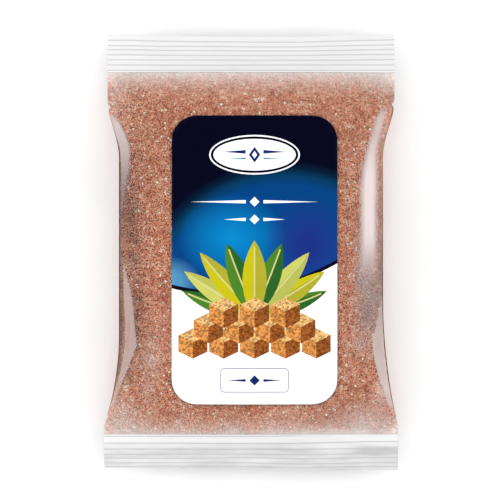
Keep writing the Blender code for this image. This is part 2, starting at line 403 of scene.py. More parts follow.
def front_height(s, y):
    """Height of the front film over the body."""
    edge = edge_height(y)
    rim = np.clip(1.0 - np.abs(s) ** SIDE_POWER, 0.0, 1.0)
    full = front_fullness(y) * rim ** side_exponent(y)
    return edge + (THICKNESS - edge) * full + FIN_THICKNESS / 2 * (1 - full)


def back_height(s, y):
    """Height of the back film over the body, level where the pouch lies on its back."""
    edge = edge_height(y)
    along = swell(share(from_seal(y), BACK_SWELL), BACK_POWER)
    outside = share(np.abs(s) - FLAT_BACK_SHARE, 1.0 - FLAT_BACK_SHARE)
    full = along * (1.0 - outside**SIDE_POWER) ** side_exponent(y)
    return edge - edge * full - FIN_THICKNESS / 2 * (1 - full)


def drift(x, y, scale, seed, waves=7):
    """Smooth seeded unevenness between about -1 and 1, with features of the given size."""
    draw = np.random.default_rng(seed)
    total = np.zeros(np.broadcast(x, y).shape)
    for _ in range(waves):
        turn = draw.uniform(0, math.pi)
        pitch = scale * draw.uniform(0.7, 1.6)
        phase = draw.uniform(0, 2 * math.pi)
        total += np.sin((x * math.cos(turn) + y * math.sin(turn)) * 2 * math.pi / pitch + phase)
    return total / waves * 1.6


def mesh_object(name, points, faces, materials, smooth_faces=True, values=None):
    """A mesh object from arrays: points (n, 3), faces (m, sides), and named values for each point."""
    points = np.asarray(points, float)
    faces = np.asarray(faces, int)
    count, sides = faces.shape
    data = bpy.data.meshes.new(name)
    data.vertices.add(len(points))
    data.vertices.foreach_set("co", points.ravel())
    data.loops.add(count * sides)
    data.polygons.add(count)
    data.polygons.foreach_set("loop_start", np.arange(0, count * sides, sides))
    data.polygons.foreach_set("vertices", faces.ravel())
    data.update(calc_edges=True)
    data.validate()
    if smooth_faces:
        data.shade_smooth()
    else:
        data.shade_flat()
    for key, array in (values or {}).items():
        kind, field = "FLOAT", "value"
        if array.ndim == 2:
            kind, field = "FLOAT_COLOR", "color"
            array = np.pad(array, ((0, 0), (0, 1)), constant_values=1.0)
        data.attributes.new(key, kind, "POINT").data.foreach_set(field, array.ravel())
    for item in materials:
        data.materials.append(item)
    made = bpy.data.objects.new(name, data)
    bpy.context.scene.collection.objects.link(made)
    return made


def grid_faces(rows, columns, start=0):
    """Quads of a grid of points whose rows run one after another."""
    i, j = np.meshgrid(np.arange(rows - 1), np.arange(columns - 1), indexing="ij")
    first = start + i * columns + j
    return np.stack([first, first + 1, first + columns + 1, first + columns], -1).reshape(-1, 4)


def closed_faces(rows, columns):
    """Quads that close a front grid and a back grid of the same size round their edges."""
    back = rows * columns
    i, j = np.arange(rows - 1) * columns, np.arange(columns - 1)
    right, top = i + columns - 1, (rows - 1) * columns + j
    rim = (
        (i, i + columns, back + i + columns, back + i),
        (right, back + right, back + right + columns, right + columns),
        (j, back + j, back + j + 1, j + 1),
        (top, top + 1, back + top + 1, back + top),
    )
    parts = [grid_faces(rows, columns), grid_faces(rows, columns, back)[:, ::-1]]
    return np.concatenate(parts + [np.stack(strip, -1) for strip in rim])


def placed(piece, node):
    """Ties a piece to the body and hides the solid that it stands for."""
    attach(piece, "root")
    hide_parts(node)
    return piece


def linear(red, green, blue, part=1.0):
    """A part of an sRGB colour from 0 to 255, as linear light."""
    out = []
    for value in (red, green, blue):
        v = value / 255
        out.append((v / 12.92 if v <= 0.04045 else ((v + 0.055) / 1.055) ** 2.4) * part)
    return (*out, 1.0)


def put(socket, value):
    """Links a socket to an output or to a node's first one, or sets its own value."""
    if hasattr(value, "outputs"):
        value = value.outputs[0]
    if hasattr(value, "is_output"):
        socket.id_data.links.new(value, socket)
    else:
        socket.default_value = value


def node_maker(tree):
    """A function that makes a shader node, with inputs given by name, or by number as in _0."""
    tree.nodes.clear()

    def node(kind, **inputs):
        item = tree.nodes.new("ShaderNode" + kind)
        for key, value in inputs.items():
            numbered = key[0] == "_" and key[1:].isdigit()
            put(item.inputs[int(key[1:]) if numbered else key.replace("_", " ")], value)
        return item

    return node


def new_material(name):
    """An empty material, its node maker and the place on the object."""
    made = bpy.data.materials.new(name)
    made.use_nodes = True
    node = node_maker(made.node_tree)
    return made, node, node("TexCoord").outputs["Object"]


def surfaced(made, node, shader):
    """The material with a shader on its surface."""
    node("OutputMaterial", Surface=shader)
    return made


def math_node(node, operation, *values):
    item = node("Math", **{f"_{place}": value for place, value in enumerate(values)})
    item.operation = operation
    return item.outputs[0]


def ramp(node, value, stops):
    """A colour ramp fed by value, with (place, colour) stops."""
    item = node("ValToRGB", Fac=value)
    elements = item.color_ramp.elements
    while len(elements) < len(stops):
        elements.new(0.5)
    for element, (place, colour) in zip(elements, stops):
        element.position = place
        element.color = colour
    return item.outputs["Color"]


def greys(*stops):
    """Stops of a colour ramp that are all neutral."""
    return [(place, (tone, tone, tone, 1)) for place, tone in stops]


def mixed(node, amount, below, above, blend="MIX"):
    """One colour over another."""
    item = node("Mix")
    item.data_type = "RGBA"
    item.blend_type = blend
    for place, value in ((0, amount), (6, below), (7, above)):
        put(item.inputs[place], value)
    return item.outputs[2]


def attribute(node, name, output="Fac"):
    item = node("Attribute")
    item.attribute_name = name
    return item.outputs[output]


# Colours of the crystals, darkest first
CRYSTAL_TONES = (
    (0.0, linear(166, 93, 66)),
    (0.3, linear(198, 128, 98)),
    (0.6, linear(216, 156, 128)),
    (0.9, linear(236, 189, 164)),
    (1.0, linear(246, 230, 216)),
)


def sugar_colour(node, where, tone):
    """The colour of unevenly toned sugar, with its part of the haze and of the painted shade painted into it.
    """
    for size, strength in SUGAR_CLOUDS:
        cloud = node("TexNoise", Vector=where, Scale=1 / (size * MM), Detail=1.0)
        tone = math_node(node, "MULTIPLY_ADD", cloud.outputs["Fac"], strength, tone)
        tone = math_node(node, "SUBTRACT", tone, strength / 2)
    colour = ramp(node, tone, CRYSTAL_TONES)
    # The haze and painted shade that the sugar carries, mixed over its colour
    return mixed(node, attribute(node, "sugar_veil_and_shade"), colour, attribute(node, "sugar_veil_and_shade_tint", "Color"))


def sugar_material():
    """Brown cane crystals: each has its own tone, a few are pale and clear and also stand in as painted
    glints.
    """
    made, node, where = new_material("cane_sugar")
    shader = node(
        "BsdfPrincipled", Base_Color=sugar_colour(node, where, attribute(node, "tone")), Roughness=0.3,
        Specular_IOR_Level=0.25, Subsurface_Weight=0.6, Subsurface_Radius=(1.0, 0.5, 0.3),
        Subsurface_Scale=1.0 * MM,
    )
    return surfaced(made, node, shader)


def core_material():
    """The sugar behind the top layer of crystals, drawn as packed cells with painted shade in the gaps
    between them.
    """
    made, node, where = new_material("packed_sugar")
    cells = node("TexVoronoi", Vector=where, Scale=1050.0)
    tone = node("SeparateColor", Color=cells.outputs["Color"])
    # Painted shade in the gaps between the packed cells
    gap = ramp(node, cells.outputs["Distance"], ((0.35, (1, 1, 1, 1)), (0.9, (0.72, 0.67, 0.65, 1))))
    colour = mixed(node, 1.0, sugar_colour(node, where, tone), gap, "MULTIPLY")
    bump = node("Bump", Height=cells.outputs["Distance"], Strength=0.7, Distance=0.3 * MM)
    bump.invert = True
    shader = node("BsdfPrincipled", Base_Color=colour, Roughness=0.4, Normal=bump, Specular_IOR_Level=0.25)
    return surfaced(made, node, shader)


def film_material():
    """Clear film: smooth and glossy where it is taut, bumpy where crystals press on it, and painted over by
    places with haze, painted reflection and painted shade.
    """
    made, node, where = new_material("clear_film")
    taut = attribute(node, "taut")
    cells = node("TexVoronoi", Vector=where, Scale=1000.0)
    loose = math_node(node, "SUBTRACT", 1.0, taut)
    bump = node("Bump", Height=cells.outputs["Distance"], Strength=loose, Distance=0.18 * MM)
    gloss = node("BsdfGlossy", Color=(1, 1, 1, 1), Normal=bump, Roughness=0.12)
    clear = node("BsdfTransparent", Color=(0.985, 0.98, 0.975, 1))
    facing = node("Fresnel", IOR=1.5, Normal=bump)
    part = math_node(node, "MULTIPLY_ADD", taut, 0.7, 0.3)
    strength = math_node(node, "MULTIPLY", facing, part)
    body = node("MixShader", _0=strength, _1=clear, _2=gloss)
    # A diffuse layer in the haze tints: haze, painted reflection and painted shade
    painted_over = node("BsdfDiffuse", Color=attribute(node, "haze_and_painted_light_tint", "Color"))
    return surfaced(made, node, node("MixShader", _0=attribute(node, "haze_and_painted_light"), _1=body, _2=painted_over))


def fin_material(name, darker, lighter, streaks):
    """Two welded films, whitened by the crimping, with soft streaks and greyer lines along the crimps."""
    made, node, where = new_material(name)
    long, short = 1 / (20 * MM), 1 / (3.6 * MM)
    stretched = node("Mapping", Vector=where, Scale=(long, short, long))
    cloud = node("TexNoise", Vector=stretched, Scale=1.0, Detail=2.0)
    white = attribute(node, "white")
    spread = math_node(node, "MULTIPLY", math_node(node, "SUBTRACT", 1.1, white), streaks)
    shift = math_node(node, "SUBTRACT", cloud.outputs["Fac"], 0.5)
    white = math_node(node, "MULTIPLY_ADD", shift, spread, white)
    colour = ramp(node, white, ((0.0, linear(*darker)), (1.0, linear(*lighter))))
    colour = mixed(node, attribute(node, "crease"), colour, linear(*CREASE_COLOUR))
    shader = node("BsdfPrincipled", Base_Color=colour, Roughness=0.35, Specular_IOR_Level=0.3)
    clear = node("BsdfTransparent", Color=(1, 1, 1, 1))
    return surfaced(made, node, node("MixShader", _0=FIN_COVER, _1=clear, _2=shader))


def label_shade(x, y, z):
    """Strength of the label's soft shadow on the front of the sugar."""
    px, py = x - LABEL_X, y - LABEL_Y
    qx = np.maximum(np.abs(px) - LABEL_WIDTH / 2 + LABEL_CORNER_RADIUS, 1e-9)
    qy = np.maximum(np.abs(py) - LABEL_LENGTH / 2 + LABEL_CORNER_RADIUS, 1e-9)
    far = np.hypot(qx, qy)
    away = np.maximum(far - LABEL_CORNER_RADIUS, 0.0)
    all_round, right, below = LABEL_SHADE
    depth = all_round + right * np.maximum(np.sign(px) * qx / far, 0)
    depth = depth + below * np.maximum(-np.sign(py) * qy / far, 0)
    depth = np.minimum(depth, LABEL_SHADE_MOST) * (z > THICKNESS / 2)
    return depth * np.exp(-((away / LABEL_SHADE_REACH) ** 2))


def soft_haze(x, y, z):
    """Layers of haze, partly painted reflection, and of painted shade over the sugar: strength, tint and the
    part that the film carries.
    """
    above = 1 - smooth(edge_height(y) - z, 0.0, UNDER_FADE)
    cloud = 1 + PATCH_UNEVENNESS * drift(x, y, PATCH_CLOUD, SEED + 9)
    layers = []
    # Pale patches of haze, partly painted reflection, and patches of painted shade
    for px, py, rx, ry, strength, tint, part in PATCHES:
        far = ((x / MM - px) / rx) ** 2 + ((y / MM - py) / ry) ** 2
        layers.append((strength * above * np.exp(-far) * cloud, tint, part))
    for away, haze_and_painted_light in ((TOP_SEAL_Y - y, TOP_HAZE), (y - BOTTOM_SEAL_Y, BOTTOM_HAZE)):
        strength, reach, unevenness, width, seed = haze_and_painted_light
        streaks = 1 + unevenness * drift(x, y * HAZE_STRETCH, width, seed, 9)
        strength = strength * np.exp(-((np.maximum(away, 0) / reach) ** HAZE_POWER)) * streaks
        # Haze at the seals, partly a painted reflection
        layers.append((strength, HAZE_TINT, FILM_PART))
    shade = np.where(x < 0, *WALL_SHADE) * smooth(from_seal(y), *WALL_SHADE_ENDS) * above
    shade = shade * np.exp(-((inset_at(x, y) / WALL_SHADE_REACH) ** 2))
    return layers + [(shade, WALL_TINT, WALL_FILM_PART), (label_shade(x, y, z), WALL_TINT, 0.0)]


def blended(layers):
    """Joint strength and mean tint of (strength, tint) layers that lie over one another."""
    clear, tints, total = 1.0, 0.0, 1e-6
    for strength, tint in layers:
        strength = np.clip(strength, 0.0, 0.97)
        clear = clear * (1 - strength)
        tints = tints + strength[..., None] * np.array(tint)
        total = total + strength
    return 1 - clear, tints / total[..., None]


def lay_facet(facet, x, y, front):
    """Raises the front film to a facet, and gives its cover and the strength and tint of what is painted on
    it: haze with a painted reflection of the lights, and painted shade where the tint is near black.
    """
    side, slope = facet["side"], math.tan(math.radians(facet["slope"]))
    way = (facet["top"] * MM - y) / ((facet["top"] - facet["bottom"]) * MM)
    inner, outer, haze_and_painted_light = (np.interp(way, facet["shares"], facet[key]) for key in ("inner", "outer", "haze_and_painted_light"))
    inner, outer = inner * MM, outer * MM
    from_top, to_bottom = facet["fades"]
    presence = smooth(way, 0.0, from_top) * smooth(1 - way, 0.0, to_bottom)
    edge = half_width(y, side)
    inset = edge - side * x
    own_side = side * x > 0
    crease = front_height(share_across(side * (edge - inner), y) / within_ridge(y), y)
    plane = crease - slope * (inner - inset)
    foot = crease - slope * (inner - outer)
    low, ridge = edge_height(y), ridge_width(y)
    wall = low + (foot - low) * np.sqrt(share(inset - ridge, outer - ridge))
    raised = np.maximum(np.where(inset > outer, plane, wall) - front, 0.0)
    front += np.where(own_side & (inset < inner), presence * raised, 0.0)
    widest = FEATHER_SHARE * (inner - outer) + FEATHER_LEAST
    inner_feather, outer_feather = (np.minimum(value * MM, widest) for value in facet["feathers"])
    cover = smooth(inset, outer - outer_feather, outer + outer_feather)
    cover = cover * (1 - smooth(inset, inner - inner_feather, inner + inner_feather)) * own_side * presence
    # Tints of the painted haze: pale ones partly a painted reflection, the near black one painted shade
    first, last = np.array(facet["tints"])
    way = share(way, 1.0)[..., None]
    return cover, haze_and_painted_light * cover, (1 - way) * first + way * last


def film_surface():
    """Front and back points of the film, how taut it is, and the strength and tint of the haze, painted
    reflection and painted shade on both its sides.
    """
    s = columns_across(FILM_COLUMNS + 1)
    k = np.linspace(0, math.pi, FILM_ROWS + 1)
    y = (BOTTOM_SEAL_Y + (TOP_SEAL_Y - BOTTOM_SEAL_Y) * (1 - np.cos(k)) / 2)[:, None]
    x = across(s * within_ridge(y), y)
    front, back = front_height(s, y), back_height(s, y)
    taut, hazes = np.zeros_like(x), []
    for facet in FACETS:
        cover, *haze_and_painted_light = lay_facet(facet, x, y, front)
        taut = np.maximum(taut, cover)
        hazes.append(haze_and_painted_light)

    off_label = np.maximum(np.abs(x - LABEL_X) - LABEL_WIDTH / 2, np.abs(y - LABEL_Y) - LABEL_LENGTH / 2)
    rim = smooth(1 - np.abs(s), 0.0, CALM_RIM)
    calm = smooth(off_label, 0.0, CALM_LABEL) * (1 - taut) * rim
    front += RIPPLE_HEIGHT * drift(x, y, RIPPLE_SIZE, SEED) * calm * smooth(from_seal(y), 0, 8 * MM)
    for away, seed in ((TOP_SEAL_Y - y, SEED + 1), (y - BOTTOM_SEAL_Y, SEED + 2)):
        fold = drift(x, y * PUCKER_STRETCH, PUCKER_SIZE, seed, 9)
        near = np.exp(-((away / PUCKER_REACH) ** 2)) * smooth(away, 0, 1.5 * MM)
        pucker = PUCKER_HEIGHT * fold * near * rim
        front += pucker
        back += pucker * smooth(back, 1 * MM, 4 * MM)

    white = SEAL_WHITE * np.exp(-((from_seal(y) / SEAL_WHITE_REACH) ** 2)) * np.ones_like(x)
    level = np.broadcast_to(y, x.shape)
    looks = []
    for z, clear, own in ((front, 1 - taut, hazes), (back, 1.0, [])):
        layers = own + [(strength * part * clear, tint) for strength, tint, part in soft_haze(x, level, z)]
        looks.append(blended(layers + [(white, SEAL_WHITE_TINT)]))

    middle = edge_height(y[:, 0])
    begins = ridge_width(y[:, 0]) * RIDGE_INSET / RIDGE_WIDTH
    x = with_ridge(x, across(-1.0, y[:, 0]) + begins, across(1.0, y[:, 0]) - begins)
    front = with_ridge(front + FILM_LIFT, *[middle + RIDGE_THICKNESS / 2] * 2)
    back = with_ridge(back, *[middle - RIDGE_THICKNESS / 2] * 2)
    looks = ridged(looks, y[:, 0])
    y = np.broadcast_to(y, x.shape)
    return np.stack([x, y, front], -1), np.stack([x, y, back], -1), with_ridge(taut, 0, 0), looks


def with_ridge(grid, left, right):
    """The grid with one more column at each side."""
    wider = np.pad(grid, ((0, 0), (1, 1)) + ((0, 0),) * (grid.ndim - 2))
    wider[:, 0], wider[:, -1] = left, right
    return wider


def ridged(looks, y):
    """The haze, painted reflection and painted shade of each side of the film, with tints, and the ridge's
    own added at its edges: its darker tint is painted shade along the outline.
    """
    found = []
    cover = np.interp(y / MM, *RIDGE_COVER)
    # The dark tint is painted shade along the outline
    light, dark = np.array(RIDGE_TINTS)
    shades = [np.interp(y / MM, *places)[:, None] for places in (LEFT_RIDGE_SHADE, RIGHT_RIDGE_SHADE)]
    own = [(1 - shade) * light + shade * dark for shade in shades]
    for haze_and_painted_light, tint in looks:
        haze_and_painted_light, tint = with_ridge(haze_and_painted_light, cover, cover), with_ridge(tint, *own)
        for column, mine in zip((1, -2), own):
            over = cover > haze_and_painted_light[:, column]
            haze_and_painted_light[over, column] = cover[over]
            tint[over, column] = mine[over]
        found.append((haze_and_painted_light, tint))
    return found


def film_heights(surface, x, y):
    """Front and back heights of the film at any places."""
    s = np.clip(share_across(x, y) / within_ridge(y), -1, 1)
    j = (np.arcsin(s) * 2 / math.pi + 1) / 2 * FILM_COLUMNS
    i = np.arccos(1 - 2 * share(y - BOTTOM_SEAL_Y, TOP_SEAL_Y - BOTTOM_SEAL_Y)) / math.pi * FILM_ROWS
    i0 = np.minimum(i.astype(int), FILM_ROWS - 1)
    j0 = np.minimum(j.astype(int), FILM_COLUMNS - 1)
    di, dj = i - i0, j - j0
    found = []
    for side in surface[:2]:
        grid = side[:, 1:-1, 2]
        low = grid[i0, j0] * (1 - dj) + grid[i0, j0 + 1] * dj
        high = grid[i0 + 1, j0] * (1 - dj) + grid[i0 + 1, j0 + 1] * dj
        found.append(low * (1 - di) + high * di)
    return found


def held_in(points, surface):
    """The points, with those beyond the film moved back to lie against its inside."""
    y = np.clip(points[:, 1], BOTTOM_SEAL_Y + PRESSED_GAP, TOP_SEAL_Y - PRESSED_GAP)
    widest = within_ridge(y)
    x = np.clip(points[:, 0], across(-widest, y) + EDGE_GAP, across(widest, y) - EDGE_GAP)
    front, back = film_heights(surface, x, y)
    z = np.clip(points[:, 2], back + PRESSED_GAP, front - PRESSED_GAP)
    return np.stack([x, y, z], -1)


def make_film(surface):
    front, back, taut, looks = surface
    points = np.concatenate([front.reshape(-1, 3), back.reshape(-1, 3)])
    faces = closed_faces(*taut.shape)
    values = {
        "taut": np.concatenate([taut.ravel(), np.zeros(taut.size)]),
        # Haze, painted reflection and painted shade on the film, with their tints
        "haze_and_painted_light": np.concatenate([haze_and_painted_light.ravel() for haze_and_painted_light, _ in looks]),
        "haze_and_painted_light_tint": np.concatenate([tint.reshape(-1, 3) for _, tint in looks]),
    }
    made = mesh_object("film", points, faces, [film_material()], values=values)
    return placed(made, "pouch")


def sheet_points(x, y, front, back):
    """The points of a front grid and of the back grid behind it, as one list."""
    return np.concatenate([np.stack(np.broadcast_arrays(x, y, z), -1).reshape(-1, 3) for z in (front, back)])


def groove_lines(out, x, fin):
    """1 along the crimp lines and 0 between them, the lines slightly wavy and rising to the right."""
    total = np.zeros(np.broadcast(out, x).shape)
    for line, place in enumerate(fin["crimps"]):
        middle = place * MM + GROOVE_WAVE * drift(x, 0 * x, GROOVE_WAVE_SIZE, fin["seed"] + line, 4)
        middle = middle - fin["rise"] * share(x - RISE_FROM, RISE_REACH)
        total = np.maximum(total, np.exp(-(((out - middle) / GROOVE_HALF_WIDTH) ** 2)))
    return total


def make_fin(fin):
    """One crimped fin: a thin sheet with grooves across it, gently waved and slightly drooping."""
    length = fin["length"]
    s = np.linspace(-1, 1, FIN_COLUMNS + 1)[None, :]
    out = np.linspace(0, length, FIN_ROWS + 1)[:, None]
    x = s * rounded_end(fin["wide"], length - out, FIN_CORNER_RADIUS)
    longer = np.interp(x / MM, *fin["longer"]) * MM
    y = fin["seal"] + fin["way"] * (out + longer * out / length)
    bend = FIN_DROOP * (out / length) ** 2
    waves = fin["wave"] * drift(x, out, FIN_WAVE_SIZE, fin["seed"] + 30) * smooth(out, 0, 8 * MM)
    lines = groove_lines(out, x, fin)
    begins, ends = DIM_BAND
    band = smooth(out, begins, begins + MM) * (1 - smooth(out, ends, ends + MM)) * smooth(x, *DIM_ACROSS)
    white = np.interp(np.broadcast_to(out, x.shape) / MM, *fin["white"]) - fin["dimmer"] * band
    middle = SEAL_HEIGHT - bend + waves - GROOVE_DEPTH * lines
    sheet = FIN_SHEET + (FIN_THICKNESS - FIN_SHEET) * (1 - smooth(out, 0, 0.9 * MM))
    points = sheet_points(x, y, middle + sheet / 2, middle - sheet / 2)
    faces = closed_faces(FIN_ROWS + 1, FIN_COLUMNS + 1)[:, :: fin["way"]]
    material = fin_material("crimped_film_" + fin["name"].split("_")[0], *fin["colours"], fin["streaks"])
    values = {"crease": np.tile(lines.ravel(), 2), "white": np.tile(white.ravel(), 2)}
    return placed(mesh_object(fin["name"], points, faces, [material], values=values), "pouch")


def section_loops(y):
    """Loops round the pouch at each y, as evenly spaced points, and the length of each loop."""
    s = columns_across(LOOP_SAMPLES)
    y = np.asarray(y)[:, None]
    x = across(s, y)
    level = np.broadcast_to(y, x.shape)
    front, back = (np.stack([x, level, height(s, y)], -1) for height in (front_height, back_height))
    loops = np.concatenate([front, back[:, ::-1]], 1)
    lengths = np.linalg.norm(np.diff(loops[:, :, ::2], axis=1), axis=2)
    even, totals = [], []
    for loop, pieces in zip(loops, lengths):
        reach = np.concatenate([[0], np.cumsum(pieces)])
        at = np.linspace(0, reach[-1], LOOP_STEPS)
        even.append(np.stack([np.interp(at, reach, loop[:, a]) for a in range(3)], -1))
        totals.append(reach[-1])
    return np.array(even), np.array(totals)


def crystal_places(draw):
    """Places and outward directions of crystals in an even, jittered layer under the film."""
    fine = np.linspace(BOTTOM_SEAL_Y + END_GAP, TOP_SEAL_Y - END_GAP, FINE_ROWS)
    climb = np.gradient(front_height(0.3, fine), fine)
    profile = np.concatenate([[0], np.cumsum(np.sqrt(1 + climb[1:] ** 2) * np.diff(fine))])
    rows = np.interp(np.arange(0, profile[-1], CRYSTAL_SPACING), profile, fine)
    reach = ROW_JITTER * np.gradient(rows)
    here, totals = section_loops(rows)
    ahead, _ = section_loops(rows + reach)
    behind, _ = section_loops(rows - reach)
    outward = np.cross(np.gradient(here, axis=1), ahead - behind)
    places, directions = [], []
    for i, total in enumerate(totals):
        count = int(total / CRYSTAL_SPACING)
        at = np.arange(count) + draw.uniform(0, 1) + draw.uniform(-CRYSTAL_JITTER, CRYSTAL_JITTER, count)
        at = at / count * (LOOP_STEPS - 1) % (LOOP_STEPS - 1)
        shift = draw.uniform(-1, 1, count)[:, None]

        def sample(loop):
            return np.stack([np.interp(at, np.arange(LOOP_STEPS), loop[:, a]) for a in range(3)], -1)

        place = sample(here[i])
        step = np.where(shift > 0, sample(ahead[i]) - place, place - sample(behind[i]))
        places.append(place + step * shift)
        directions.append(sample(outward[i]))
    places, directions = np.concatenate(places), np.concatenate(directions)
    directions /= np.maximum(np.linalg.norm(directions, axis=-1, keepdims=True), 1e-12)
    x, y, z = places.T
    s = share_across(x, y)
    gap = front_height(s, y) - back_height(s, y)
    from_x = LABEL_WIDTH / 2 - np.abs(x - LABEL_X)
    from_y = LABEL_LENGTH / 2 - np.abs(y - LABEL_Y)
    in_corner = (from_x < LABEL_CORNER_RADIUS) & (from_y < LABEL_CORNER_RADIUS)
    hidden = (directions[:, 2] > 0) & (from_x > UNDER_LABEL) & (from_y > UNDER_LABEL) & ~in_corner
    thinned = (z < RESTING_HEIGHT) & (draw.uniform(0, 1, len(places)) < RESTING_LEFT_OUT)
    keep = (gap > THIN_EDGE) & ~hidden & ~thinned
    return places[keep], directions[keep]


def sugar_veil_and_shade_at(x, y, z):
    """Strength and tint of the haze and painted shade that the film leaves to the sugar under it, to be
    painted into its colour.
    """
    return blended([(s * (1 - part) / (1 - s * part), tint) for s, tint, part in soft_haze(x, y, z)])


def random_turns(draw, count):
    """Rotation matrices spread evenly over all directions."""
    q = draw.normal(size=(count, 4))
    q /= np.linalg.norm(q, axis=1, keepdims=True)
    w, x, y, z = q.T
    rows = (
        1 - 2 * (y * y + z * z), 2 * (x * y - w * z), 2 * (x * z + w * y),
        2 * (x * y + w * z), 1 - 2 * (x * x + z * z), 2 * (y * z - w * x),
        2 * (x * z - w * y), 2 * (y * z + w * x), 1 - 2 * (x * x + y * y),
    )
    return np.stack(rows, -1).reshape(-1, 3, 3)


# Sizes in millimetres, and how much smaller one end is than the other
CRYSTAL_KINDS = (
    {"name": "crystals_blocky", "size": (0.98, 0.92, 0.84), "taper": 1.0},
    {"name": "crystals_flat", "size": (1.08, 0.92, 0.58), "taper": 1.0},
    {"name": "crystals_wedge", "size": (1.02, 0.92, 0.88), "taper": 0.55},
    {"name": "crystals_long", "size": (1.20, 0.74, 0.70), "taper": 0.85},
)
CRYSTAL_CORNERS = np.array([(x, y, z) for z in (-0.5, 0.5) for y in (-0.5, 0.5) for x in (-0.5, 0.5)])
CRYSTAL_SIDES = np.array([(0, 2, 3, 1), (4, 5, 7, 6), (0, 1, 5, 4), (2, 6, 7, 3), (0, 4, 6, 2), (1, 3, 7, 5)])


def make_crystals(surface):
    """Joined meshes of loose crystals, one for each kind, all just inside the film."""
    draw = np.random.default_rng(SEED)
    places, directions = crystal_places(draw)
    kinds = draw.integers(0, len(CRYSTAL_KINDS), len(places))
    sugar = sugar_material()
    for number, kind in enumerate(CRYSTAL_KINDS):
        mine = kinds == number
        count = int(mine.sum())
        size = np.array(kind["size"]) * MM * draw.uniform(*CRYSTAL_SCALES, (count, 1))
        size = size * draw.uniform(*CRYSTAL_STRETCHES, (count, 3))
        corners = CRYSTAL_CORNERS.copy()
        corners[4:, :2] *= kind["taper"]
        turned = np.einsum("nij,nkj->nki", random_turns(draw, count), corners * size[:, None, :])
        depth = CRYSTAL_DEPTH + draw.uniform(*CRYSTAL_DEPTHS, (count, 1)) * MM
        middles = places[mine] - directions[mine] * depth
        points = held_in((turned + middles[:, None, :]).reshape(-1, 3), surface)
        faces = (CRYSTAL_SIDES[None] + 8 * np.arange(count)[:, None, None]).reshape(-1, 4)
        tone = draw.beta(TONE_EVENNESS, TONE_EVENNESS, count)
        # A few pale, clear crystals, which also stand in as painted glints
        tone[draw.uniform(0, 1, count) < PALE_AND_GLINT_SHARE] = PALE_AND_GLINT_TONE
        # The haze and painted shade that these crystals carry
        sugar_veil_and_shade, sugar_veil_and_shade_tint = sugar_veil_and_shade_at(*points.T)
        values = {"tone": np.repeat(tone, 8), "sugar_veil_and_shade": sugar_veil_and_shade, "sugar_veil_and_shade_tint": sugar_veil_and_shade_tint}
        made = mesh_object(kind["name"], points, faces, [sugar], smooth_faces=False, values=values)
        placed(made, "pouch")


def make_core():
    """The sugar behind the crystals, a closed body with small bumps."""
    s = columns_across(CORE_COLUMNS + 1)
    y = np.linspace(BOTTOM_SEAL_Y + CORE_END, TOP_SEAL_Y - CORE_END, CORE_ROWS + 1)[:, None]
    front, back = front_height(s, y), back_height(s, y)
    climb = np.gradient(front, y[:, 0], axis=0)
    depth = np.minimum(CORE_DEPTH * np.sqrt(1 + climb**2), CORE_DEEPEST * (front - back))
    side = ridge_width(y) + CORE_INSET + CORE_MIDDLE_INSET * smooth(from_seal(y), 14 * MM, 24 * MM)
    x = across(s, y) * (1 - side / WAIST_HALF_WIDTH)
    relief = CORE_RELIEF * smooth(front - back, 1.2 * MM, 4 * MM)
    bumps = np.random.default_rng(SEED + 5).uniform(-1, 1, (2,) + x.shape) * relief
    points = sheet_points(x, y, front - depth + bumps[0], back + depth + bumps[1])
    # The haze and painted shade that the core carries
    sugar_veil_and_shade, sugar_veil_and_shade_tint = sugar_veil_and_shade_at(*points.T)
    values = {"sugar_veil_and_shade": sugar_veil_and_shade, "sugar_veil_and_shade_tint": sugar_veil_and_shade_tint}
    faces = closed_faces(CORE_ROWS + 1, CORE_COLUMNS + 1)
    made = mesh_object("sugar_core", points, faces, [core_material()], values=values)
    return placed(made, "pouch")


# Print on the label, in millimetres from its middle, +x right and +y up
def circle(cx, cy, rx, ry, count=40):
    angles = [2 * math.pi * k / count for k in range(count)]
    return [(cx + rx * math.cos(a), cy + ry * math.sin(a)) for a in angles]


def rounded_box(x, y, wide, tall, radius, inset=0.0, count=6):
    """A rectangle of the given half sizes with rounded corners, or a line at an inset from it."""
    points = []
    for corner, (sx, sy) in enumerate(((1, 1), (-1, 1), (-1, -1), (1, -1))):
        for k in range(count + 1):
            a = math.pi / 2 * (corner + k / count)
            px, py = (radius - inset) * math.cos(a), (radius - inset) * math.sin(a)
            points.append((x + sx * (wide - radius) + px, y + sy * (tall - radius) + py))
    return points


def leaf(base, angle, length, width, bend, count=12):
    """A pointed blade from its base, and the thin rib along its middle."""
    c, s = math.cos(math.radians(angle)), math.sin(math.radians(angle))

    def point(way, sideways):
        px, py = way * length, bend * way * way * length + sideways
        return (base[0] + px * c - py * s, base[1] + px * s + py * c)

    def half(way):
        return width / 2 * math.sin(math.pi * min(way * 0.92 + 0.08, 1.0)) ** 0.8

    ways = [k / count for k in range(count + 1)]
    outline = [point(w, half(w)) for w in ways] + [point(w, -half(w)) for w in reversed(ways[:-1])]
    rib = [point(w, 0.35) for w in ways[:-1]] + [point(w, -0.35) for w in reversed(ways[:-1])]
    return outline, rib


def cube_faces(x, y, edge):
    """The three seen faces of a cube drawn at an angle, as top, left and right outlines."""
    across_half, drop, tall = edge * 0.87, edge * 0.42, edge * 0.98
    top = [(x, y), (x + across_half, y + drop), (x, y + 2 * drop), (x - across_half, y + drop)]
    left = [(x - across_half, y + drop), (x - across_half, y + drop - tall), (x, y - tall), (x, y)]
    right = [(x, y), (x, y - tall), (x + across_half, y + drop - tall), (x + across_half, y + drop)]
    return top, left, right


def wave_line(x):
    """Lower edge of the blue field."""
    return -14.0 + 0.0054 * (x + 14.0) ** 2


def lozenge(x, y, rx, ry):
    return [(x + rx, y), (x, y + ry), (x - rx, y), (x, y - ry)]


